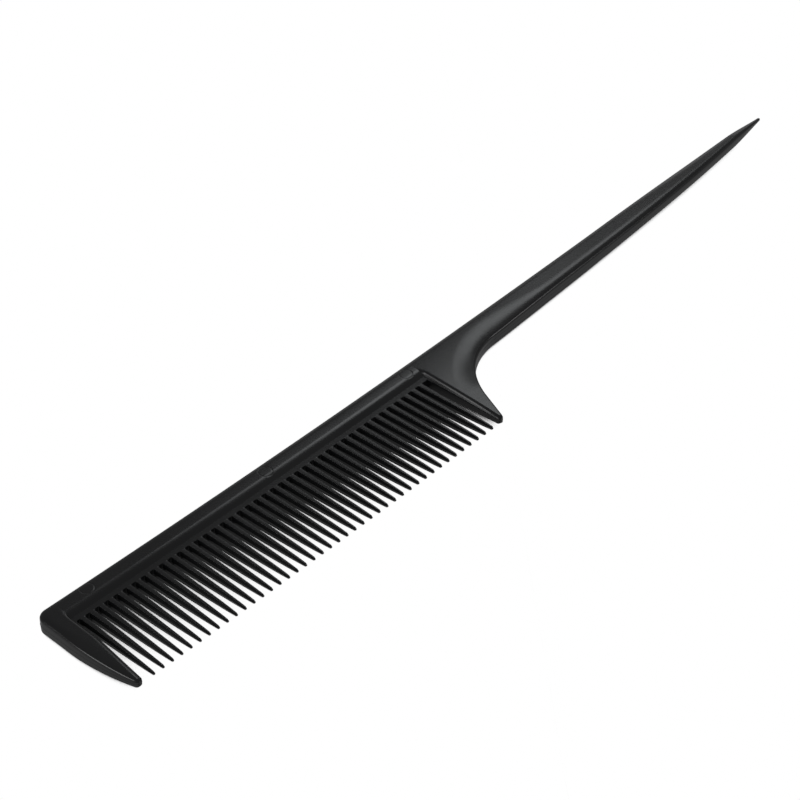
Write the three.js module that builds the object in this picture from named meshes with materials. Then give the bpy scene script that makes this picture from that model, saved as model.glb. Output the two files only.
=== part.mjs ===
// A rat tail comb: a spine with a row of fine teeth between two guard teeth, and a long
// pointed tail for parting hair. The real comb is one moulding in hard black plastic. It is
// built here region by region, each region a closed body that meets its neighbours face to face.
//
// Everything is first laid out straight, in millimetres: u runs along the comb from the front
// guard to the tail's point, v runs from the tooth tips (0) to the back edge, and w is the
// height above the mid-plane, where the two halves of the mould meet. Each body is then bent
// by the moulding's slight bow, and the whole comb is laid on z = 0, centred in x and y.

import * as THREE from "three";

// Driving dimensions, in millimetres.
const TOOTH_COUNT = 42;
const TOOTH_PITCH = 2.2;
const TOOTH_LENGTH = 19.1;
const BLADE_WIDTH = 25.2;
const BACK_THICKNESS = 4;
const WEB_THICKNESS = 2.3;
const GUARD_TIP_THICKNESS = 1.9;
const GUARD_WALL_THICKNESS = 3;
const FRONT_GUARD_WIDTH = 4.5;
const FRONT_SLOT_EDGE = -1.5;
const REAR_SLOT_WIDTH = 2.3;
const COVE_RADIUS = 18.2;
const TAIL_LENGTH = 108.4;
const TAIL_ROOT_WIDTH = 6.85;
const BOW_RADIUS = 3034;
const BACK_ROUND = 1.8;

// Lines of the layout that follow from them.
const BACK_HALF = BACK_THICKNESS / 2;
const WEB_HALF = WEB_THICKNESS / 2;
const WALL_HALF = GUARD_WALL_THICKNESS / 2;
const FRONT_EDGE = FRONT_SLOT_EDGE - FRONT_GUARD_WIDTH;
const REAR_SLOT_EDGE = (TOOTH_COUNT - 1) * TOOTH_PITCH + REAR_SLOT_WIDTH;
const TAIL_LOW_EDGE = BLADE_WIDTH - TAIL_ROOT_WIDTH;
const COVE_BASE = TAIL_LOW_EDGE - COVE_RADIUS;
const TAIL_START = REAR_SLOT_EDGE + 20.9;
const TAIL_END = TAIL_START + TAIL_LENGTH;
const MID_LENGTH = (FRONT_EDGE + TAIL_END) / 2;

const lerp = THREE.MathUtils.lerp;
const smooth = THREE.MathUtils.smoothstep;

// Black polystyrene with a satin moulded finish.
function blackPlastic() {
  return new THREE.MeshStandardMaterial({ color: 0x17181a, roughness: 0.36, metalness: 0 });
}

// Bends a straight body by the moulding's bow: the back edge keeps its length, and lines
// across the comb stay straight and fan out a little towards the tooth tips.
function bend(geometry) {
  const position = geometry.attributes.position;
  for (let i = 0; i < position.count; i += 1) {
    const angle = (position.getX(i) - MID_LENGTH) / BOW_RADIUS;
    const radius = BOW_RADIUS + BLADE_WIDTH - position.getY(i);
    position.setX(i, MID_LENGTH + radius * Math.sin(angle));
    position.setY(i, BLADE_WIDTH + BOW_RADIUS - radius * Math.cos(angle));
  }
  return geometry;
}

// Skins a row of rings of points into one closed body. Every ring has the same number of
// points. Rings that follow one another along v run from +w by +u to -w and -u, and rings
// along u run from +v by +w to -v and -w, so that the faces point out.
function loft(rings) {
  const sides = rings[0].length;
  const steps = rings.length - 1;
  const geometry = new THREE.CylinderGeometry(1, 1, steps, sides, steps);
  const position = geometry.attributes.position;
  for (let i = 0; i < position.count; i += 1) {
    const across = Math.atan2(position.getX(i), position.getZ(i)) / (2 * Math.PI);
    const side = (Math.round(across * sides) + sides) % sides;
    const ring = rings[Math.round(position.getY(i) + steps / 2)];
    const onAxis = Math.hypot(position.getX(i), position.getZ(i)) < 0.5;
    const point = onAxis ? centreOf(ring) : ring[side];
    position.setXYZ(i, point.x, point.y, point.z);
  }
  return geometry;
}

function centreOf(ring) {
  const sum = new THREE.Vector3();
  ring.forEach((point) => sum.add(point));
  return sum.divideScalar(ring.length);
}

// A section across a tooth at height v: flat top and bottom lands, and side faces that
// slope out to the parting line at the mid-plane, so that the tooth leaves the mould.
function toothRing(centre, v, land, middle, half) {
  const outline = [[land, half], [middle, 0], [land, -half], [-land, -half], [-middle, 0], [-land, half]];
  return outline.map(([side, w]) => new THREE.Vector3(centre + side, v, w));
}

// One fine tooth. Its width and thickness grow from a blunt, rounded tip to the slots' root.
function tooth(index) {
  const stations = [0, 0.12, 0.4, 2, 5, 9, 14, TOOTH_LENGTH];
  const fullness = lerp(0.65, 0.5, index / (TOOTH_COUNT - 1));
  const rings = stations.map((v) => {
    const t = v / TOOTH_LENGTH;
    const tipRound = Math.sqrt(1 - (1 - Math.min(v / 0.4, 1)) ** 2 * 0.75);
    const land = lerp(0.1, 0.46, t ** 0.9) * tipRound;
    const middle = lerp(0.27, 0.6, t ** 0.9) * tipRound;
    const half = lerp(0.33, WEB_HALF, t ** fullness) * tipRound;
    return toothRing(index * TOOTH_PITCH, v, land, middle, half);
  });
  return loft(rings);
}

// How much the half thickness is rounded off at v, close to the back edge.
function backRound(v) {
  return 0.7 * (Math.max(0, v - (BLADE_WIDTH - BACK_ROUND)) / BACK_ROUND) ** 3.5;
}

// Half the thickness of the guards at v: thin at their tips, and full over the spine.
function guardHalf(v) {
  const guard = lerp(GUARD_TIP_THICKNESS / 2, WALL_HALF, smooth(v, -2, 14));
  return lerp(guard, BACK_HALF, smooth(v, 12, 20)) - backRound(v);
}

// A section across a guard at height v, between two sides, with the edges rounded off.
function guardRing(v, low, high) {
  const half = guardHalf(v);
  const inset = Math.min(0.5, (high - low) * 0.2);
  const wall = half * 0.85;
  const outline = [
    [high - inset, half],
    [high, wall],
    [high, -wall],
    [high - inset, -half],
    [low + inset, -half],
    [low, -wall],
    [low, wall],
    [low + inset, half],
  ];
  return outline.map(([u, w]) => new THREE.Vector3(u, v, w));
}

// The front guard: a stout end tooth that carries the comb's rounded front corner.
function frontGuard() {
  const cornerRadius = 2.7;
  const cornerBase = BLADE_WIDTH - cornerRadius;
  const straightFrom = 17;
  const innerTaperFrom = 13;
  const tip = 0.1;
  const outerEdge = (v) => {
    const lean = 2.15 * Math.max(0, (straightFrom - v) / straightFrom) ** 2.1;
    const rise = Math.min(cornerRadius, Math.max(0, v - cornerBase));
    return FRONT_EDGE + lean + cornerRadius - Math.sqrt(cornerRadius ** 2 - rise ** 2);
  };
  const innerEdge = (v) => FRONT_SLOT_EDGE - 1.1 * Math.max(0, (innerTaperFrom - v) / innerTaperFrom);
  const cornerStations = [0, 30, 50, 65, 78, 90].map(
    (degrees) => cornerBase + cornerRadius * Math.sin(THREE.MathUtils.degToRad(degrees)),
  );
  const stations = [tip, tip + 0.15, tip + 0.5, 2.5, 5, 8, 11, 13, 15, 17, 19.5, ...cornerStations];
  return loft(
    stations.map((v) => {
      const squeeze = 0.35 * Math.max(0, 1 - (v - tip) / 0.5) ** 2;
      return guardRing(v, outerEdge(v) + squeeze, innerEdge(v) - squeeze);
    }),
  );
}

// The heel: the rear guard tooth, the neck behind the spine, and the cove that sweeps from
// the guard's tip round into the tail's lower edge.
function heel() {
  const tip = 0.3;
  const coveStart = 22;
  const tangent = Math.tan(THREE.MathUtils.degToRad(90 - coveStart));
  const onCove = (degrees) => {
    const angle = THREE.MathUtils.degToRad(degrees);
    return { v: COVE_BASE + COVE_RADIUS * Math.sin(angle), edge: TAIL_START - COVE_RADIUS * Math.cos(angle) };
  };
  const coveFoot = onCove(coveStart);
  const straight = [tip, tip + 0.15, tip + 0.5, 2.5, 4.5].map((v) => {
    return { v, edge: coveFoot.edge - (coveFoot.v - v) / tangent };
  });
  const cove = [coveStart, 30, 38, 46, 54, 62, 70, 78, 84, 90].map(onCove);
  const neck = [20, ...[BACK_ROUND, 0.9, 0.3, 0].map((inset) => BLADE_WIDTH - inset)].map((v) => {
    return { v, edge: TAIL_START };
  });
  return loft(
    [...straight, ...cove, ...neck].map(({ v, edge }) => {
      const squeeze = 0.25 * Math.max(0, 1 - (v - tip) / 0.5) ** 2;
      return guardRing(v, REAR_SLOT_EDGE + squeeze, edge - squeeze);
    }),
  );
}

// The spine: a thin web that the teeth grow from, and a rounded bead along the back.
function spine() {
  const beadFoot = TOOTH_LENGTH + 1.1;
  const back = [BACK_ROUND, 1, 0.6, 0.3, 0].map((inset) => {
    const v = BLADE_WIDTH - inset;
    return [v, BACK_HALF - backRound(v)];
  });
  const half = [
    [TOOTH_LENGTH, WEB_HALF],
    [beadFoot, WEB_HALF],
    [beadFoot + 0.5, 1.46],
    [beadFoot + 1.2, 1.8],
    [beadFoot + 2.1, BACK_HALF],
    ...back,
  ];
  const mirrored = half.map(([v, w]) => [v, -w]).reverse();
  const section = new THREE.Shape([...half, ...mirrored].map(([v, w]) => new THREE.Vector2(v, w)));
  const length = REAR_SLOT_EDGE - FRONT_SLOT_EDGE;
  const bar = new THREE.ExtrudeGeometry(section, { depth: length, steps: 22, bevelEnabled: false });
  const turn = new THREE.Matrix4().set(0, 0, 1, FRONT_SLOT_EDGE, 1, 0, 0, 0, 0, 1, 0, 0, 0, 0, 0, 1);
  return bar.applyMatrix4(turn);
}

// The tail: upright walls and a crowned face at its root, narrowing to a slim round point.
function tail() {
  const taperFrom = 0.55;
  const pointHeight = BLADE_WIDTH - 1.7;
  const pointHalf = 0.3;
  const lowerEdge = new THREE.CubicBezierCurve(
    new THREE.Vector2(TAIL_START, TAIL_LOW_EDGE),
    new THREE.Vector2(TAIL_START + 50, TAIL_LOW_EDGE + 1.65),
    new THREE.Vector2(TAIL_START + 74, TAIL_LOW_EDGE + 1.6),
    new THREE.Vector2(TAIL_END, pointHeight - pointHalf),
  );
  const upperEdge = new THREE.CubicBezierCurve(
    new THREE.Vector2(TAIL_START, BLADE_WIDTH),
    new THREE.Vector2(TAIL_START + 50, BLADE_WIDTH - 0.05),
    new THREE.Vector2(TAIL_START + 74, BLADE_WIDTH + 0.35),
    new THREE.Vector2(TAIL_END, pointHeight + pointHalf),
  );
  const steps = 24;
  const rings = Array.from({ length: steps + 1 }, (_, i) => {
    const t = i / steps;
    const low = lowerEdge.getPoint(t).y;
    const high = upperEdge.getPoint(t).y;
    const u = lowerEdge.getPoint(t).x;
    const slim = smooth(t, taperFrom, 1);
    const half = Math.min(lerp(BACK_HALF, 1.25, smooth(u, TAIL_START, TAIL_END)), (high - low) / 2);
    const wall = half * lerp(0.72, 0.4, slim);
    const inset = (high - low) * lerp(0.14, 0.27, slim);
    const outline = [
      [high, wall],
      [high - inset, half],
      [low + inset, half],
      [low, wall],
      [low, -wall],
      [low + inset, -half],
      [high - inset, -half],
      [high, -wall],
    ];
    return outline.map(([v, w]) => new THREE.Vector3(u, v, w));
  });
  return loft(rings);
}

const comb = new THREE.Group();

function addBody(name, geometry) {
  const mesh = new THREE.Mesh(bend(geometry), blackPlastic());
  mesh.name = name;
  comb.add(mesh);
}

addBody("spine", spine());
addBody("front_guard", frontGuard());
addBody("heel", heel());
addBody("tail", tail());
for (let i = 0; i < TOOTH_COUNT; i += 1) {
  addBody(`tooth_${String(i + 1).padStart(2, "0")}`, tooth(i));
}

// Lays the comb on z = 0, with its length and width centred on the origin.
const extent = new THREE.Box3().setFromObject(comb);
const middle = extent.getCenter(new THREE.Vector3());
comb.children.forEach((mesh) => mesh.geometry.translate(-middle.x, -middle.y, -extent.min.z));

export default comb;
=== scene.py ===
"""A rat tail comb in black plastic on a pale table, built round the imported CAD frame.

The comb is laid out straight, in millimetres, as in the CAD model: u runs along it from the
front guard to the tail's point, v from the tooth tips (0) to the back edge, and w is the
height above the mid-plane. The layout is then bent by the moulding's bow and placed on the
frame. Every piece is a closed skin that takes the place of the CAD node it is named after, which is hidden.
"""
import math

import bpy
import numpy as np
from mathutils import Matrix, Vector


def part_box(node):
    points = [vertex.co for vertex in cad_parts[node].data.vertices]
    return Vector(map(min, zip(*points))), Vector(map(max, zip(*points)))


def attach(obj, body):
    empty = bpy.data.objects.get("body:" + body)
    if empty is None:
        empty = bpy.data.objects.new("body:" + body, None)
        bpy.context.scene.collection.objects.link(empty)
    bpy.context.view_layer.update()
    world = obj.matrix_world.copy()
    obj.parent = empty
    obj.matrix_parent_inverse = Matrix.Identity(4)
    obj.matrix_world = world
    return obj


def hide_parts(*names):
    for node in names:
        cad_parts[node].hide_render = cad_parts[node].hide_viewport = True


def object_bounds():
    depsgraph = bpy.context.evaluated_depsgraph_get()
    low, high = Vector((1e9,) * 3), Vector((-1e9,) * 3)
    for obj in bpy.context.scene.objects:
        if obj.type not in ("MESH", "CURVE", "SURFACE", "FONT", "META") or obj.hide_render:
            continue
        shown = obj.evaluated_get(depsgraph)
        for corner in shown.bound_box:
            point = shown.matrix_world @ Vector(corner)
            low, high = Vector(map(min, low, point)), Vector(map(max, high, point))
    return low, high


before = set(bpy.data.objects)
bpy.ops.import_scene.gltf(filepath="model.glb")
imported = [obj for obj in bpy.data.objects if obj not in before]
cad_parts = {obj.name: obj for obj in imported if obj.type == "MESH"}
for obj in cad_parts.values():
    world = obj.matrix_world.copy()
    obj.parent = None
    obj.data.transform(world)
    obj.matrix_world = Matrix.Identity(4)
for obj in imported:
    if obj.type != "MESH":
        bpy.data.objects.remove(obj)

CAD_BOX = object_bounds()
MM = 0.001

# Driving dimensions, in millimetres, as in the CAD model.
TOOTH_COUNT = 42
TOOTH_PITCH = 2.2
TOOTH_LENGTH = 19.1
BLADE_WIDTH = 25.2
BACK_HALF = 2.0
WEB_HALF = 1.15
GUARD_TIP_HALF = 0.95
FRONT_GUARD_WIDTH = 4.5
FRONT_SLOT_EDGE = -1.5
REAR_SLOT_WIDTH = 2.3
COVE_RADIUS = 18.2
COVE_START = math.radians(22)
NECK_LENGTH = 20.9
TAIL_LENGTH = 108.4
TAIL_ROOT_WIDTH = 6.85
BOW_RADIUS = 3034

# Lines of the layout that follow from them.
FRONT_EDGE = FRONT_SLOT_EDGE - FRONT_GUARD_WIDTH
REAR_SLOT_EDGE = (TOOTH_COUNT - 1) * TOOTH_PITCH + REAR_SLOT_WIDTH
TAIL_LOW_EDGE = BLADE_WIDTH - TAIL_ROOT_WIDTH
COVE_BASE = TAIL_LOW_EDGE - COVE_RADIUS
TAIL_START = REAR_SLOT_EDGE + NECK_LENGTH
TAIL_END = TAIL_START + TAIL_LENGTH
MID_LENGTH = (FRONT_EDGE + TAIL_END) / 2
POINT_HEIGHT = BLADE_WIDTH - 1.7
POINT_HALF = 0.3

# The moulded surface.
BEAD_FOOT = TOOTH_LENGTH + 1.1
BEAD_SLOPE = 2.0
BEAD_DOME = 4.2
CORNER_RADIUS = 2.3
GUARD_TIP = 0.1
HEEL_TIP = 0.3
LEDGE = 0.3
LEDGE_RISE = 0.9
TOOTH_FILLET = 0.3

# Edge radii: of most edges, of the crisp slot edges, and of the ridge over the near walls.
EDGE_RADIUS = 0.22
SLOT_EDGE_RADIUS = 0.1
RIDGE_RADIUS = 0.45

# Broad shoulders, as how far they drop, how far they reach inside the edge, and a power that
# says how tightly they curl.
BACK_DROP = 0.52
BACK_REACH = 1.8
BACK_POWER = 3.5
GUARD_DROP = 0.2
GUARD_UNDER_DROP = 0.14
GUARD_REACH = 2.7
GUARD_POWER = 2.0
COVE_DROP = 0.85
COVE_UNDER_DROP = 0.36
COVE_REACH = 5.1
COVE_POWER = 2.3

# Mould marks.
EJECTOR_RADIUS = 1.4
EJECTORS = ((4.9, 23.5), (49.5, 22.8), (90.1, 22.9))
EJECTOR_RIM = 0.035
EJECTOR_PAD = 0.012
PARTING_RIDGE = 0.035
DRAFT = 0.03

# Heights of the points up a wall, as fractions of the wall's own height over the mid-plane.
WALL_STEPS = np.array((-0.75, -0.45, -0.2, -0.05, 0, 0.05, 0.2, 0.45, 0.75))


def smooth(x, low, high):
    t = np.clip((x - low) / (high - low), 0, 1)
    return t * t * (3 - 2 * t)


def lerp(a, b, t):
    return a + (b - a) * t


def bend(u, v):
    """Bends the straight layout by the moulding's bow."""
    angle = (u - MID_LENGTH) / BOW_RADIUS
    radius = BOW_RADIUS + BLADE_WIDTH - v
    return MID_LENGTH + radius * np.sin(angle), BLADE_WIDTH + BOW_RADIUS - radius * np.cos(angle)


def layout_origin():
    """Where the layout's origin lies in the frame, in millimetres."""
    point_x, _ = bend(TAIL_END, POINT_HEIGHT - POINT_HALF)
    _, tip_y = bend((TOOTH_COUNT - 1) * TOOTH_PITCH, 0)
    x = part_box("tail")[1].x / MM - point_x
    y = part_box(f"tooth_{TOOTH_COUNT}")[0].y / MM - tip_y
    z = (CAD_BOX[0].z + CAD_BOX[1].z) / 2 / MM
    return np.array((x, y, z))


ORIGIN = layout_origin()


def to_frame(points):
    """Straight layout, in millimetres, to the frame, in metres."""
    x, y = bend(points[..., 0], points[..., 1])
    return (np.stack((x, y, points[..., 2]), -1) + ORIGIN) * MM


def turn_normals(points, normals):
    """Turns the layout's normals by the bow."""
    angle = (points[..., 0] - MID_LENGTH) / BOW_RADIUS
    nu, nv, nw = normals[..., 0], normals[..., 1], normals[..., 2]
    x = nu * np.cos(angle) - nv * np.sin(angle)
    y = nu * np.sin(angle) + nv * np.cos(angle)
    turned = np.stack((x, y, nw), -1)
    return turned / np.maximum(np.linalg.norm(turned, axis=-1, keepdims=True), 1e-9)


# The surface of the blade: half the thickness as a function of (u, v).

def edge_arc(distance, radius):
    """How far the surface drops at a distance inside a crisp edge of that radius."""
    x = np.clip(1 - distance / radius, 0, 1)
    return radius * (1 - np.sqrt(1 - x * x))


def shoulder(distance, depth, reach, power):
    """How far the surface drops at a distance inside a broad rounded shoulder."""
    return depth * np.clip(1 - distance / reach, 0, 1) ** power


def back_shoulder(distance, scale=1.0):
    """How far the faces drop at a distance inside the back edge."""
    return shoulder(distance, BACK_DROP * scale, BACK_REACH * scale, BACK_POWER)


def crown(v):
    """Half thickness of the raised faces, before their edges are rounded."""
    full_from = 23
    return lerp(GUARD_TIP_HALF, BACK_HALF, 1 - (1 - np.clip(v / full_from, 0, 1)) ** 1.5)


def ledge_half(v):
    """Half thickness of the ledge beside the slots: the web's, and thinner at the tips."""
    tip_half = 0.62
    return lerp(tip_half, WEB_HALF, smooth(v, -3, 17))


def bead(v):
    """How far the bead has risen over the web, from 0 to 1: a short slope and a long dome."""
    dome_share = 0.24
    slope = np.clip((v - BEAD_FOOT) / BEAD_SLOPE, 0, 1)
    dome = np.clip((v - BEAD_FOOT) / BEAD_DOME, 0, 1)
    return 1 - (1 - dome_share) * (1 - slope) ** 2 - dome_share * (1 - dome) ** 2


def guard_outer(v):
    """The front guard's outer edge, with the rounded front corner."""
    straight_from = 17
    lean_at_tip = 2.15
    lean = lean_at_tip * np.maximum(0, (straight_from - v) / straight_from) ** 2.1
    rise = np.clip(v - (BLADE_WIDTH - CORNER_RADIUS), 0, CORNER_RADIUS)
    return FRONT_EDGE + lean + CORNER_RADIUS - np.sqrt(CORNER_RADIUS ** 2 - rise ** 2)


def guard_inner(v):
    """The front guard's edge along the first slot."""
    taper_from = 13
    taper_at_tip = 1.1
    return FRONT_SLOT_EDGE - taper_at_tip * np.maximum(0, (taper_from - v) / taper_from)


def cove_edge(v, inset=0.0):
    """The heel's rear edge, or a line that far inside it: a tangent, the cove, the tail."""
    line_foot = COVE_BASE + COVE_RADIUS * math.sin(COVE_START)
    line = TAIL_START - COVE_RADIUS * math.cos(COVE_START)
    line = line - (line_foot - v) * math.tan(COVE_START) - inset / math.cos(COVE_START)
    beyond = np.maximum(0, v - TAIL_LOW_EDGE)
    reach = COVE_RADIUS + beyond + inset
    arc = TAIL_START - np.sqrt(np.maximum(0, reach ** 2 - (v - COVE_BASE) ** 2))
    on_arc = v - COVE_BASE > reach * math.sin(COVE_START)
    return np.where(on_arc, arc, line)


def cove_distance(u, v):
    """Distance inside the heel's rear edge."""
    across, up = TAIL_START - u, v - COVE_BASE
    arc = np.hypot(np.maximum(across, 0), up) - COVE_RADIUS
    on_line = COVE_BASE + 6
    line = (cove_edge(np.minimum(v, on_line)) - u) * math.cos(COVE_START)
    line = np.where(v > on_line, line + (v - on_line) * math.sin(COVE_START), line)
    return np.where(np.arctan2(up, np.maximum(across, 1e-6)) > COVE_START, arc, line)


def outer_distance(u, v):
    """Distance inside the front guard's outer edge, round the corner and along the back."""
    back = BLADE_WIDTH - v
    left = u - guard_outer(np.minimum(v, BLADE_WIDTH - CORNER_RADIUS))
    across = FRONT_EDGE + CORNER_RADIUS - u
    up = v - (BLADE_WIDTH - CORNER_RADIUS)
    corner = CORNER_RADIUS - np.hypot(across, up)
    return np.where((across > 0) & (up > 0), corner, np.minimum(left, back))


def tip_round(v, tip, reach=0.9):
    """How the thickness closes at a guard's tip."""
    return np.sqrt(1 - 0.6 * np.clip(1 - (v - tip) / reach, 0, 1) ** 2)


def slot_side(distance):
    """How far a guard has risen beside its slot: a ledge at the web's level, then a step."""
    x = np.clip((distance - LEDGE) / LEDGE_RISE, 0, 1)
    return 1 - (1 - x) ** 3


def raise_over_ledge(v, top, side):
    """The raised face where the bead or a guard's side lifts it over the web's level."""
    low = np.minimum(ledge_half(v), top)
    return low + (top - low) * (1 - (1 - side) * (1 - bead(v)))


def free_edge(v):
    """1 where the slots are open, 0 where the web closes them."""
    return 1 - smooth(v, TOOTH_LENGTH - 0.4, TOOTH_LENGTH)


def front_face(u, v, depth, edge):
    """Height of the front guard's faces, which fall by that depth to the outer edge, and end
    in an edge of that radius."""
    turned_back = smooth(v, 13, 21)
    drop = lerp(depth, BACK_DROP, turned_back)
    reach = lerp(GUARD_REACH, BACK_REACH, turned_back)
    power = lerp(GUARD_POWER, BACK_POWER, turned_back)
    outer = outer_distance(u, v)
    top = crown(v) - shoulder(outer, drop, reach, power)
    inner = guard_inner(v) - u
    half = raise_over_ledge(v, top, slot_side(inner))
    half = half - edge_arc(outer, edge) - edge_arc(inner, SLOT_EDGE_RADIUS) * free_edge(v)
    return half * tip_round(v, GUARD_TIP)


def front_top(u, v):
    return front_face(u, v, GUARD_DROP, lerp(RIDGE_RADIUS, EDGE_RADIUS, smooth(v, 17, 23)))


def front_bottom(u, v):
    return front_face(u, v, GUARD_UNDER_DROP, EDGE_RADIUS)


def rear_face(u, v, depth, edge):
    """Height of the heel's and the neck's faces, which fall by that depth to the cove, and
    end there in an edge of that radius."""
    rear = cove_distance(u, v)
    drop = lerp(0.12 * depth, depth, smooth(v, 9, 18))
    top = crown(v) - shoulder(rear, drop, COVE_REACH, COVE_POWER) - back_shoulder(BLADE_WIDTH - v)
    inner = u - REAR_SLOT_EDGE
    half = raise_over_ledge(v, top, slot_side(inner))
    half = half - edge_arc(rear, edge) - edge_arc(BLADE_WIDTH - v, EDGE_RADIUS)
    half = half - edge_arc(inner, SLOT_EDGE_RADIUS) * free_edge(v)
    return half * tip_round(v, HEEL_TIP)


def rear_top(u, v):
    return rear_face(u, v, COVE_DROP, RIDGE_RADIUS)


def rear_bottom(u, v):
    return rear_face(u, v, COVE_UNDER_DROP, EDGE_RADIUS)


def spine_half(u, v):
    """Half thickness over the web and the bead."""
    top = BACK_HALF - back_shoulder(BLADE_WIDTH - v)
    return raise_over_ledge(v, top, 0.0) - edge_arc(BLADE_WIDTH - v, EDGE_RADIUS)


def ejector_marks(u, v):
    """The rings that the ejector pins leave on the top of the bead."""
    drop = np.zeros(np.broadcast(u, v).shape)
    for mark_u, mark_v in EJECTORS:
        radius = np.hypot(u - mark_u, v - mark_v)
        drop = drop + EJECTOR_RIM * np.exp(-(((radius - EJECTOR_RADIUS) / 0.1) ** 2))
        drop = drop + EJECTOR_PAD * smooth(radius, EJECTOR_RADIUS, EJECTOR_RADIUS - 0.15)
    return drop


def spine_top(u, v):
    return spine_half(u, v) - ejector_marks(u, v)


# Skins. Points within TOUCH of a neighbour's face are taken to be on it.

TOUCH = 1e-6


def slope_normals(half, u, v, side):
    """Normals of the face w = side * half(u, v)."""
    step = 0.004
    du = (half(u + step, v) - half(u - step, v)) / (2 * step)
    dv = (half(u, v + step) - half(u, v - step)) / (2 * step)
    normal = np.stack((-du, -dv, np.ones_like(du)), -1)
    normal = normal / np.linalg.norm(normal, axis=-1, keepdims=True)
    return normal * np.array((1, 1, side))


def skin(name, points, normals, hidden=None):
    """A closed piece from rows of rings of layout points, with the surface's own normals.

    Rings close on themselves and the two ends are capped. `hidden` says which quads lie
    against a neighbour: those keep their flat normals."""
    rows, columns = points.shape[:2]
    node = np.arange(rows * columns).reshape(rows, columns)
    after = np.roll(node, -1, 1)
    quads = np.stack((node[:-1], after[:-1], after[1:], node[1:]), -1)
    flat = np.zeros(quads.shape[:2], bool)
    if hidden is not None:
        flat = hidden(points)
    faces = [tuple(q) for q in quads.reshape(-1, 4)]
    faces.append(tuple(node[0][::-1]))
    faces.append(tuple(node[-1]))
    vertices = to_frame(points).reshape(-1, 3)
    mesh = bpy.data.meshes.new(name)
    mesh.from_pydata(vertices.tolist(), [], [[int(i) for i in f] for f in faces])
    mesh.update()
    turned = turn_normals(points, normals).reshape(-1, 3)
    if signed_volume(vertices, quads.reshape(-1, 4)) < 0:
        mesh.flip_normals()
        mesh.update()
    smooth_faces = np.concatenate((~flat.reshape(-1), (False, False)))
    mesh.polygons.foreach_set("use_smooth", smooth_faces)
    loop_normals = []
    for face in mesh.polygons:
        if smooth_faces[face.index]:
            loop_normals.extend(turned[mesh.loops[i].vertex_index].tolist() for i in face.loop_indices)
        else:
            loop_normals.extend([list(face.normal)] * face.loop_total)
    mesh.normals_split_custom_set(loop_normals)
    piece = bpy.data.objects.new(name, mesh)
    bpy.context.scene.collection.objects.link(piece)
    return piece


def signed_volume(vertices, quads):
    """Positive, in some unit, when the quads face outward."""
    a, b, c, d = (vertices[quads[:, i]] for i in range(4))
    return float(np.sum(np.cross(b, c) * a) + np.sum(np.cross(c, d) * a))


def adopt(piece, node, material):
    """Hides a CAD node that a piece takes the place of, hangs the piece on the root body, and gives it its
    finish.
    """
    piece.data.materials.append(material)
    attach(piece, "root")
    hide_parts(node)


def wall_bulge():
    """How far a wall stands out at each step: the draft, and the mould's parting line."""
    return PARTING_RIDGE * (WALL_STEPS == 0) + DRAFT * (1 - np.abs(WALL_STEPS))


def wall_columns(edge_u, edge_v, below, above, out_u, out_v):
    """A wall along an edge, and its normals. It reaches that far below and above the
    mid-plane; (out_u, out_v) is the way it faces. The faces hold its two edges."""
    w = WALL_STEPS * np.where(WALL_STEPS < 0, below[:, None], above[:, None])
    out = wall_bulge()
    u = edge_u[:, None] + out * out_u[:, None]
    v = edge_v[:, None] + out * out_v[:, None]
    lean = 0.04 * np.sign(w)
    normal = np.stack((out_u[:, None] + 0 * w, out_v[:, None] + 0 * w, lean), -1)
    return np.stack((u, v, w), -1), normal


def plate(name, v_rows, columns_of, half, top_half, walls, hidden):
    """A piece of the blade, as rings at heights v: the wall at low u, the top, the wall at
    high u and the bottom. `walls` gives the way that each wall faces."""
    v = v_rows[:, None]
    u = columns_of(v_rows)
    v = np.broadcast_to(v, u.shape)
    top = np.stack((u, v, top_half(u, v)), -1)
    bottom = np.stack((u, v, -half(u, v)), -1)[:, ::-1]
    low_wall, low_normal = wall_columns(
        u[:, 0], v_rows, half(u, v)[:, 0], top_half(u, v)[:, 0], *walls[0](v_rows))
    high_wall, high_normal = wall_columns(
        u[:, -1], v_rows, half(u, v)[:, -1], top_half(u, v)[:, -1], *walls[1](v_rows))
    points = np.concatenate((low_wall, top, high_wall[:, ::-1], bottom), 1)
    top_normal = slope_normals(top_half, u, v, 1)
    bottom_normal = slope_normals(half, u, v, -1)[:, ::-1]
    normals = np.concatenate((low_normal, top_normal, high_normal[:, ::-1], bottom_normal), 1)
    return skin(name, points, normals, hidden)


def spaced(*stretches):
    """Stations from stretches of (start, end, count), each without its last station."""
    parts = [np.linspace(start, end, count, endpoint=False) for start, end, count in stretches]
    return np.concatenate(parts + [np.array((stretches[-1][1],))])


def arc_spaced(length, count):
    """Distances inside an edge, close together at the edge."""
    return length * (1 - np.cos(np.linspace(0, math.pi / 2, count)))


def blunt(v, tip, amount, reach=0.6):
    """How far a guard's sides draw in round its tip."""
    return amount * (1 - np.sqrt(1 - np.clip(1 - (v - tip) / reach, 0, 1) ** 2))


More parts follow.
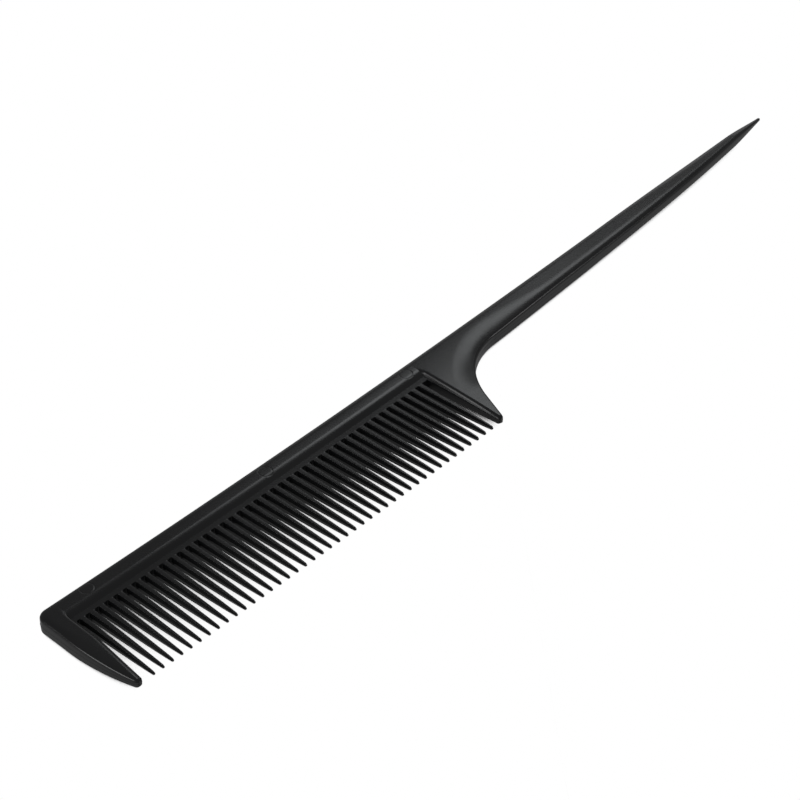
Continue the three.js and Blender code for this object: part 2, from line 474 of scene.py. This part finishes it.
def build_front_guard(material):
    corner_base = BLADE_WIDTH - CORNER_RADIUS
    corner = corner_base + CORNER_RADIUS * np.sin(np.linspace(0, math.pi / 2, 34))
    tip = GUARD_TIP + arc_spaced(0.7, 12)
    rows = np.concatenate((tip[:-1], spaced((0.8, 18.5, 50), (18.5, corner_base, 24))[:-1], corner))

    def squeeze(v):
        return blunt(v, GUARD_TIP, 0.5)

    def columns_of(v):
        low = guard_outer(v) + squeeze(v)
        high = guard_inner(v) - squeeze(v)
        room = np.minimum(1, (high - low) / 2.4)[:, None]
        outer = low[:, None] + arc_spaced(0.6, 12) * room
        from_slot = np.concatenate((spaced((1.0, 0.2, 14))[:-1], arc_spaced(0.2, 7)[::-1]))
        inner = high[:, None] - from_slot * room
        middle = lerp(outer[:, -1:], inner[:, :1], np.linspace(0, 1, 18)[1:-1])
        return np.concatenate((outer, middle, inner), 1)

    def outward(v):
        step = 0.01
        slope = (guard_outer(np.minimum(v + step, BLADE_WIDTH)) - guard_outer(v - step)) / (2 * step)
        length = np.sqrt(1 + slope ** 2)
        return -1 / length, slope / length

    def inward(v):
        return np.ones_like(v), np.zeros_like(v)

    def hidden(points):
        u, v = points[:-1, :, 0], points[:-1, :, 1]
        u_next = np.roll(u, -1, 1)
        on_slot = np.minimum(u, u_next) > FRONT_SLOT_EDGE - TOUCH
        return on_slot & (v > TOOTH_LENGTH - TOUCH)

    piece = plate("front_guard_skin", rows, columns_of, front_bottom, front_top, (outward, inward), hidden)
    adopt(piece, "front_guard", material)


def build_heel(material):
    cove = COVE_BASE + COVE_RADIUS * np.sin(np.linspace(math.radians(28), math.pi / 2, 60))
    rows = np.concatenate((HEEL_TIP + arc_spaced(0.7, 12)[:-1], spaced((1.0, cove[0], 26))[:-1], cove[:-1],
                           spaced((TAIL_LOW_EDGE, 20.0, 20), (20.0, 23.2, 22))[:-1],
                           BLADE_WIDTH - 2.0 * (1 - np.sin(np.linspace(0, math.pi / 2, 26)))))

    def squeeze(v):
        return blunt(v, HEEL_TIP, 0.4)

    def columns_of(v):
        low = REAR_SLOT_EDGE + squeeze(v)
        width = cove_edge(v) - squeeze(v) - low
        room = np.minimum(1, width / 2.4)[:, None]
        from_slot = np.concatenate((arc_spaced(0.2, 7), spaced((0.2, 1.0, 14))[1:]))
        inner = low[:, None] + from_slot * room
        depth = np.concatenate((arc_spaced(0.4, 9), spaced((0.4, 3.2, 16))[1:]))[::-1]
        depth = depth * np.minimum(1, width / 9)[:, None]
        outer = cove_edge(v[:, None], depth) - squeeze(v)[:, None]
        middle = lerp(inner[:, -1:], outer[:, :1], np.linspace(0, 1, 22)[1:-1])
        return np.concatenate((inner, middle, outer), 1)

    def forward(v):
        return -np.ones_like(v), np.zeros_like(v)

    def rearward(v):
        angle = np.arcsin(np.clip((v - COVE_BASE) / COVE_RADIUS, math.sin(COVE_START), 1))
        return np.cos(angle), -np.sin(angle)

    def hidden(points):
        u, v = points[:-1, :, 0], points[:-1, :, 1]
        u_next = np.roll(u, -1, 1)
        at_spine = (np.maximum(u, u_next) < REAR_SLOT_EDGE + TOUCH) & (v > TOOTH_LENGTH - TOUCH)
        at_tail = (np.minimum(u, u_next) > TAIL_START - 1e-3) & (v > TAIL_LOW_EDGE - TOUCH)
        return at_spine | at_tail

    piece = plate("heel_skin", rows, columns_of, rear_bottom, rear_top, (forward, rearward), hidden)
    adopt(piece, "heel", material)


def build_spine(material):
    stations = [np.arange(FRONT_SLOT_EDGE, REAR_SLOT_EDGE, TOOTH_PITCH / 4), np.array((REAR_SLOT_EDGE,))]
    for mark_u, _ in EJECTORS:
        stations.append(np.arange(mark_u - 1.7, mark_u + 1.7, 0.07))
    rows = np.unique(np.round(np.concatenate(stations), 3))
    rows = rows[(rows >= FRONT_SLOT_EDGE) & (rows <= REAR_SLOT_EDGE)]
    below_foot, above_foot, back_from = BEAD_FOOT - 0.02, BEAD_FOOT + 0.02, BLADE_WIDTH - 0.6
    web_part = spaced((TOOTH_LENGTH, below_foot, 5), (below_foot, above_foot, 2))
    bead_part = spaced((above_foot, back_from, 56))
    back_part = BLADE_WIDTH - 0.6 * (1 - np.sin(np.linspace(0, math.pi / 2, 14)))
    across = np.concatenate((web_part[:-1], bead_part[:-1], back_part))
    u, v = np.meshgrid(rows, across, indexing="ij")
    top = np.stack((u, v, spine_top(u, v)), -1)
    bottom = np.stack((u, v, -spine_half(u, v)), -1)[:, ::-1]
    ones, zeros = np.ones_like(rows), np.zeros_like(rows)
    web = ones * WEB_HALF
    root, root_normal = wall_columns(rows, ones * TOOTH_LENGTH, web, web, zeros, -ones)
    root[..., 1] = TOOTH_LENGTH
    edge = spine_half(u, v)[:, -1]
    back, back_normal = wall_columns(rows, ones * BLADE_WIDTH, edge, edge, zeros, ones)
    points = np.concatenate((root, top, back[:, ::-1], bottom), 1)
    top_normal = slope_normals(spine_top, u, v, 1)
    bottom_normal = slope_normals(spine_half, u, v, -1)[:, ::-1]
    normals = np.concatenate((root_normal, top_normal, back_normal[:, ::-1], bottom_normal), 1)
    keep_web_edges_crisp(normals, root.shape[1])

    def hidden(points):
        return np.abs(points[:-1, :, 1] - TOOTH_LENGTH) < TOUCH

    adopt(skin("spine_skin", points, normals, hidden), "spine", material)


def keep_web_edges_crisp(normals, first_of_top):
    """The web's faces keep their upright normals right up to their edge over the slots."""
    normals[:, first_of_top, :] = (0, 0, 1)
    normals[:, -1, :] = (0, 0, -1)


def tail_edges(u):
    """The tail's lower and upper edges at u: cubic Beziers in v over an eased length."""
    t = bezier_parameter((u - TAIL_START) / TAIL_LENGTH)
    low = bezier(t, TAIL_LOW_EDGE, TAIL_LOW_EDGE + 1.65, TAIL_LOW_EDGE + 1.6, POINT_HEIGHT - POINT_HALF)
    high = bezier(t, BLADE_WIDTH, BLADE_WIDTH - 0.05, BLADE_WIDTH + 0.35, POINT_HEIGHT + POINT_HALF)
    return low, high


def bezier(t, a, b, c, d):
    s = 1 - t
    return s ** 3 * a + 3 * s ** 2 * t * b + 3 * s * t ** 2 * c + t ** 3 * d


def bezier_parameter(fraction):
    """The Beziers' parameter at a fraction of the tail's length."""
    t = np.linspace(-0.02, 1.02, 2000)
    return np.interp(fraction, bezier(t, 0, 50 / TAIL_LENGTH, 74 / TAIL_LENGTH, 1), t)


def tail_faces(u, v, low, high, half):
    """Heights of the tail's top and bottom faces. They start as the neck's, then settle into
    a slight lean and a tighter shoulder over the near wall."""
    scale = half / BACK_HALF
    near, far = v - low, high - v
    settled = smooth(u, TAIL_START, 136)
    slim = smooth(u, 140, 185)
    drop = half * lerp(lerp(COVE_DROP, 0.6, settled) / BACK_HALF, 0.3, slim)
    under_drop = half * lerp(COVE_UNDER_DROP / BACK_HALF, 0.36, slim)
    reach = lerp(COVE_REACH, 2.6, settled) * (high - low) / TAIL_ROOT_WIDTH
    lean = 0.026 * settled * far + (BACK_HALF - crown(v)) * (1 - settled)
    face = half - back_shoulder(far, scale) - edge_arc(far, EDGE_RADIUS * scale)
    top = face - lean - shoulder(near, drop, reach, COVE_POWER) - edge_arc(near, RIDGE_RADIUS * scale)
    bottom = face - lean - shoulder(near, under_drop, reach, COVE_POWER)
    bottom = bottom - edge_arc(near, EDGE_RADIUS * scale)
    return top, bottom, face


def tail_plate(u, low, high, half):
    """The tail's section near the neck: upright walls, and faces with rounded edges."""
    across = np.concatenate((arc_spaced(0.09, 12), spaced((0.09, 0.75, 38), (0.75, 1.0, 8))[1:-1],
                             1 - arc_spaced(0.02, 7)[::-1]))
    v = low + (high - low) * across
    above, below, far_face = tail_faces(u, v, low, high, half)
    top = np.stack((u + 0 * v, v, above), -1)
    bottom = np.stack((u + 0 * v, v, -below), -1)[:, ::-1]
    near_height = np.where(WALL_STEPS < 0, below[:, :1], above[:, :1])
    near_wall = np.stack((u + 0 * WALL_STEPS, low - wall_bulge(), near_height * WALL_STEPS), -1)
    far_wall = np.stack((u + 0 * WALL_STEPS, high + wall_bulge(), far_face[:, -1:] * WALL_STEPS), -1)
    return np.concatenate((near_wall, top, far_wall[:, ::-1], bottom), 1)


def tail_oval(ring, low, high, half):
    """The tail's section near the point: the same ring of points, moved onto a full oval."""
    fullness = 3
    middle, reach = (low + high) / 2, (high - low) / 2
    angle = np.arctan2(ring[..., 2] / half, (ring[..., 1] - middle) / reach)
    across, up = np.cos(angle), np.sin(angle)
    radius = (np.abs(across) ** fullness + np.abs(up) ** fullness) ** (-1 / fullness)
    return np.stack((ring[..., 0], middle + reach * radius * across, half * radius * up), -1)


def tail_ring(u):
    """The tail's section at each u: a plate that turns into an oval and closes in a point."""
    low, high = (edge[:, None] for edge in tail_edges(u))
    u = u[:, None]
    stout = smooth(u, 150, 190) * (1 - smooth(u, 210, TAIL_END))
    low, high = low - 0.12 * stout, high + 0.18 * stout
    half = lerp(BACK_HALF, 1.25, smooth(u, TAIL_START, TAIL_END))
    half = np.minimum(half, (high - low) / 2) * (1 + 0.1 * stout)
    ring = tail_plate(u, low, high, half)
    ring = lerp(ring, tail_oval(ring, low, high, half), smooth(u, 158, 200)[..., None])
    middle = (low + high) / 2
    close = np.sqrt(1 - np.clip(1 - (TAIL_END - u) / 0.45, 0, 0.985) ** 2)
    ring[..., 1] = middle + (ring[..., 1] - middle) * close
    ring[..., 2] = ring[..., 2] * close
    return ring


def grid_normals(ring_of, stations, step=0.02):
    """Normals of rings that change smoothly from station to station."""
    ring = ring_of(stations)
    along = ring_of(stations + step) - ring_of(stations - step)
    around = np.roll(ring, -1, 1) - np.roll(ring, 1, 1)
    normal = np.cross(around, along)
    normal = normal / np.maximum(np.linalg.norm(normal, axis=-1, keepdims=True), 1e-9)
    centre = ring.mean(1, keepdims=True)
    outward = np.sum(normal * (ring - centre)) > 0
    return ring, normal if outward else -normal


def build_tail(material):
    rows = np.concatenate((spaced((TAIL_START, 158, 50), (158, 205, 60), (205, TAIL_END - 0.5, 20))[:-1],
                           TAIL_END - arc_spaced(0.5, 9)[::-1]))
    ring, normals = grid_normals(tail_ring, rows)
    adopt(skin("tail_skin", ring, normals), "tail", material)


def tooth_ring(index):
    """The section of a tooth at each height v: drafted sides, rounded lands, a filleted root.

    The first teeth keep their thickness nearer to the root than the last ones do."""
    taper = lerp(0.65, 0.5, index / (TOOTH_COUNT - 1))
    centre = index * TOOTH_PITCH
    land = np.array(((0.0, 1.0), (0.55, 1.0), (0.85, 0.985), (0.97, 0.955), (1.0, 0.9)))
    side = np.array((0.7, 0.45, 0.2, 0.06, 0.0))
    heights = np.concatenate((land[:, 1], side))
    ridge = 0.02 * (heights == 0)
    widened = np.arange(len(heights)) > 0

    def ring_of(v):
        v = np.minimum(v, TOOTH_LENGTH)[:, None]
        t = np.maximum(v, 0) / TOOTH_LENGTH
        tip = np.sqrt(1 - 0.9 * np.clip(1 - v / 0.45, 0, 0.97) ** 2)
        rise = np.clip(v - (TOOTH_LENGTH - TOOTH_FILLET), 0, TOOTH_FILLET)
        flare = TOOTH_FILLET - np.sqrt(TOOTH_FILLET ** 2 - rise ** 2)
        land_half = lerp(0.13, 0.48, t ** 0.9) * tip
        middle_half = lerp(0.27, 0.6, t ** 0.9) * tip
        half = lerp(0.33, WEB_HALF, t ** taper) * tip
        across = np.concatenate((land_half * land[:, 0], lerp(middle_half, land_half, side / 0.9)), 1)
        across = across + flare * widened + ridge * tip
        w = half * heights
        first = np.stack((centre + across, v + 0 * w, w), -1)
        second = np.stack((centre + across, v + 0 * w, -w), -1)[:, ::-1][:, 1:]
        third = np.stack((centre - across, v + 0 * w, -w), -1)[:, 1:]
        fourth = np.stack((centre - across, v + 0 * w, w), -1)[:, ::-1][:, 1:-1]
        return np.concatenate((first, second, third, fourth), 1)

    return ring_of


def build_tooth(index, material):
    root = TOOTH_LENGTH - TOOTH_FILLET * (1 - np.sin(np.linspace(0, math.pi / 2, 7)))
    shank = spaced((0.45, TOOTH_LENGTH - TOOTH_FILLET, 30))
    rows = np.concatenate((arc_spaced(0.45, 8)[:-1], shank[:-1], root))
    ring, normals = grid_normals(tooth_ring(index), rows)
    name = f"tooth_{index + 1:02d}"
    adopt(skin(name + "_skin", ring, normals), name, material)


# The black plastic.

def add(tree, kind, **values):
    node = tree.nodes.new(kind)
    for key, value in values.items():
        setattr(node, key, value)
    return node


def noise(tree, coordinates, scale, detail, roughness=0.5, stretch=None):
    """Noise in the comb's own coordinates, at a scale per metre."""
    source = coordinates
    if stretch is not None:
        mapping = add(tree, "ShaderNodeMapping")
        mapping.inputs["Scale"].default_value = stretch
        tree.links.new(source, mapping.inputs["Vector"])
        source = mapping.outputs["Vector"]
    node = add(tree, "ShaderNodeTexNoise")
    node.inputs["Scale"].default_value = scale
    node.inputs["Detail"].default_value = detail
    node.inputs["Roughness"].default_value = roughness
    tree.links.new(source, node.inputs["Vector"])
    return node.outputs["Fac"]


def ramp(tree, value, low, high, start=0.0, end=1.0):
    node = add(tree, "ShaderNodeMapRange", clamp=True)
    node.inputs["From Min"].default_value = low
    node.inputs["From Max"].default_value = high
    node.inputs["To Min"].default_value = start
    node.inputs["To Max"].default_value = end
    tree.links.new(value, node.inputs["Value"])
    return node.outputs["Result"]


def maths(tree, operation, first, second):
    node = add(tree, "ShaderNodeMath", operation=operation)
    for socket, value in zip(node.inputs, (first, second)):
        if isinstance(value, float):
            socket.default_value = value
        else:
            tree.links.new(value, socket)
    return node.outputs["Value"]


def mix_colour(tree, factor, first, second):
    node = add(tree, "ShaderNodeMix", data_type="RGBA")
    tree.links.new(factor, node.inputs["Factor"])
    node.inputs["A"].default_value = (*first, 1)
    node.inputs["B"].default_value = (*second, 1)
    return node.outputs["Result"]


def black_plastic():
    """Hard black plastic with a satin moulded skin: faint flow marks, a fine grain that
    breaks up the highlights, hairline scratches along the comb, and rubbed edges."""
    material = bpy.data.materials.new("black_plastic_satin")
    material.use_nodes = True
    tree = material.node_tree
    shader = tree.nodes["Principled BSDF"]
    coordinates = add(tree, "ShaderNodeTexCoord").outputs["Object"]
    flow = noise(tree, coordinates, 90, 3, stretch=(0.35, 1, 1))
    grain = noise(tree, coordinates, 5200, 3, 0.6)
    mottle = noise(tree, coordinates, 900, 4, 0.6)
    scratch = noise(tree, coordinates, 2600, 2, 0.4, stretch=(0.03, 1, 1))
    scratches = ramp(tree, scratch, 0.66, 0.74)
    pointiness = add(tree, "ShaderNodeNewGeometry").outputs["Pointiness"]
    rubbed = ramp(tree, pointiness, 0.53, 0.62)
    dark, light = (0.0075, 0.0078, 0.0085), (0.0105, 0.0108, 0.0115)
    colour = mix_colour(tree, ramp(tree, flow, 0.35, 0.65), dark, light)
    shader.inputs["Base Color"].default_value = (0.009, 0.0093, 0.01, 1)
    tree.links.new(colour, shader.inputs["Base Color"])
    mottled = ramp(tree, mottle, 0.3, 0.7, 0.205, 0.235)
    rough = maths(tree, "ADD", mottled, ramp(tree, flow, 0.3, 0.7, -0.02, 0.03))
    rough = maths(tree, "ADD", rough, maths(tree, "MULTIPLY", rubbed, 0.05))
    tree.links.new(rough, shader.inputs["Roughness"])
    shader.inputs["Specular IOR Level"].default_value = 0.5
    fine = maths(tree, "ADD", maths(tree, "MULTIPLY", grain, 0.5), maths(tree, "MULTIPLY", mottle, 0.6))
    height = maths(tree, "SUBTRACT", fine, maths(tree, "MULTIPLY", scratches, 0.25))
    bump = add(tree, "ShaderNodeBump")
    bump.inputs["Strength"].default_value = 0.04
    bump.inputs["Distance"].default_value = 0.000008
    tree.links.new(height, bump.inputs["Height"])
    tree.links.new(bump.outputs["Normal"], shader.inputs["Normal"])
    return material


# The studio.

TABLE_SIZE = 6.0
TABLE_RADIANCE = 0.4
SHADOW_REACH = 0.006
LIGHT_DISTANCE = 1.6


def direction(azimuth, elevation):
    """A unit vector; azimuth 0 is towards +x and 90 towards +y, in degrees."""
    a, e = math.radians(azimuth), math.radians(elevation)
    return Vector((math.cos(a) * math.cos(e), math.sin(a) * math.cos(e), math.sin(e)))


def aim(obj, target):
    obj.rotation_euler = (target - obj.location).to_track_quat("-Z", "Y").to_euler()


def build_table():
    """A pale table top that glows evenly white to the eye, as in a product picture, and more dimly where the
    plastic reflects it. Painted shadow: an ambient occlusion reading darkens its glow where the comb lies
    close over it, to the eye and in reflections."""
    reach = TABLE_SIZE / 2
    level = CAD_BOX[0].z - 0.0002
    corners = [(-reach, -reach, level), (reach, -reach, level), (reach, reach, level), (-reach, reach, level)]
    mesh = bpy.data.meshes.new("table_top")
    mesh.from_pydata(corners, [], [(0, 1, 2, 3)])
    table = bpy.data.objects.new("table_top", mesh)
    bpy.context.scene.collection.objects.link(table)
    material = bpy.data.materials.new("table_white")
    material.use_nodes = True
    tree = material.node_tree
    tree.nodes.clear()
    shadow = add(tree, "ShaderNodeAmbientOcclusion", samples=12)
    shadow.inputs["Distance"].default_value = SHADOW_REACH
    seen = add(tree, "ShaderNodeEmission")
    # Painted shadow seen by the camera: the table's glow falls nearly to black where the comb occludes it,
    # under and between the teeth.
    tree.links.new(ramp(tree, shadow.outputs["AO"], 0.14, 0.34, 0.01, 1.0), seen.inputs["Strength"])
    reflected = add(tree, "ShaderNodeEmission")
    # Painted shadow in the plastic's reflections: the glow it mirrors dims with the occlusion, up to
    # TABLE_RADIANCE in the open.
    shade = ramp(tree, shadow.outputs["AO"], 0, 1, 0.05, TABLE_RADIANCE)
    tree.links.new(shade, reflected.inputs["Strength"])
    path = add(tree, "ShaderNodeLightPath")
    mix = add(tree, "ShaderNodeMixShader")
    output = add(tree, "ShaderNodeOutputMaterial")
    tree.links.new(path.outputs["Is Camera Ray"], mix.inputs[0])
    tree.links.new(reflected.outputs[0], mix.inputs[1])
    tree.links.new(seen.outputs[0], mix.inputs[2])
    tree.links.new(mix.outputs[0], output.inputs["Surface"])
    mesh.materials.append(material)


def soft_box(name, azimuth, elevation, width, height, radiance, colour=(1, 1, 1)):
    """An area light, aimed at the comb, that shows in the plastic as a panel of that radiance."""
    data = bpy.data.lights.new(name, "AREA")
    data.shape = "RECTANGLE"
    data.size = width
    data.size_y = height
    data.energy = radiance * math.pi * width * height
    data.color = colour
    light = bpy.data.objects.new(name, data)
    light.location = direction(azimuth, elevation) * LIGHT_DISTANCE
    bpy.context.scene.collection.objects.link(light)
    aim(light, Vector((0, 0, 0)))


def build_lights():
    soft_box("soft_box_main", 26, 47.5, 0.48, 0.5, 2.15, (0.95, 0.985, 1.0))
    soft_box("soft_box_low", 50, 15, 0.5, 0.5, 0.35)
    soft_box("soft_box_side", 33, 17, 0.5, 0.5, 0.6)
    soft_box("soft_box_left", 160, 26, 0.6, 0.7, 3.6)
    soft_box("soft_box_right", -51, 27, 0.6, 0.3, 4.5)
    world = bpy.data.worlds.new("studio")
    world.use_nodes = True
    background = world.node_tree.nodes["Background"]
    background.inputs["Color"].default_value = (1, 1, 1, 1)
    background.inputs["Strength"].default_value = 0.2
    bpy.context.scene.world = world


def build_camera():
    """The photograph's view: over the tooth tips, from the front guard's side."""
    azimuth = -139.0
    elevation = 38.65
    distance = 0.4501
    target = (CAD_BOX[0] + CAD_BOX[1]) / 2 + Vector((-22.95, 6.23, 0)) * MM
    data = bpy.data.cameras.new("camera")
    data.lens = 100.9
    data.sensor_width = 36
    camera = bpy.data.objects.new("camera", data)
    camera.location = target + direction(azimuth, elevation) * distance
    aim(camera, target)
    bpy.context.scene.collection.objects.link(camera)
    bpy.context.scene.camera = camera


def main():
    build_camera()
    build_table()
    build_lights()
    bpy.context.scene.view_settings.view_transform = "Standard"
    plastic = black_plastic()
    build_spine(plastic)
    build_front_guard(plastic)
    build_heel(plastic)
    build_tail(plastic)
    for index in range(TOOTH_COUNT):
        build_tooth(index, plastic)


main()
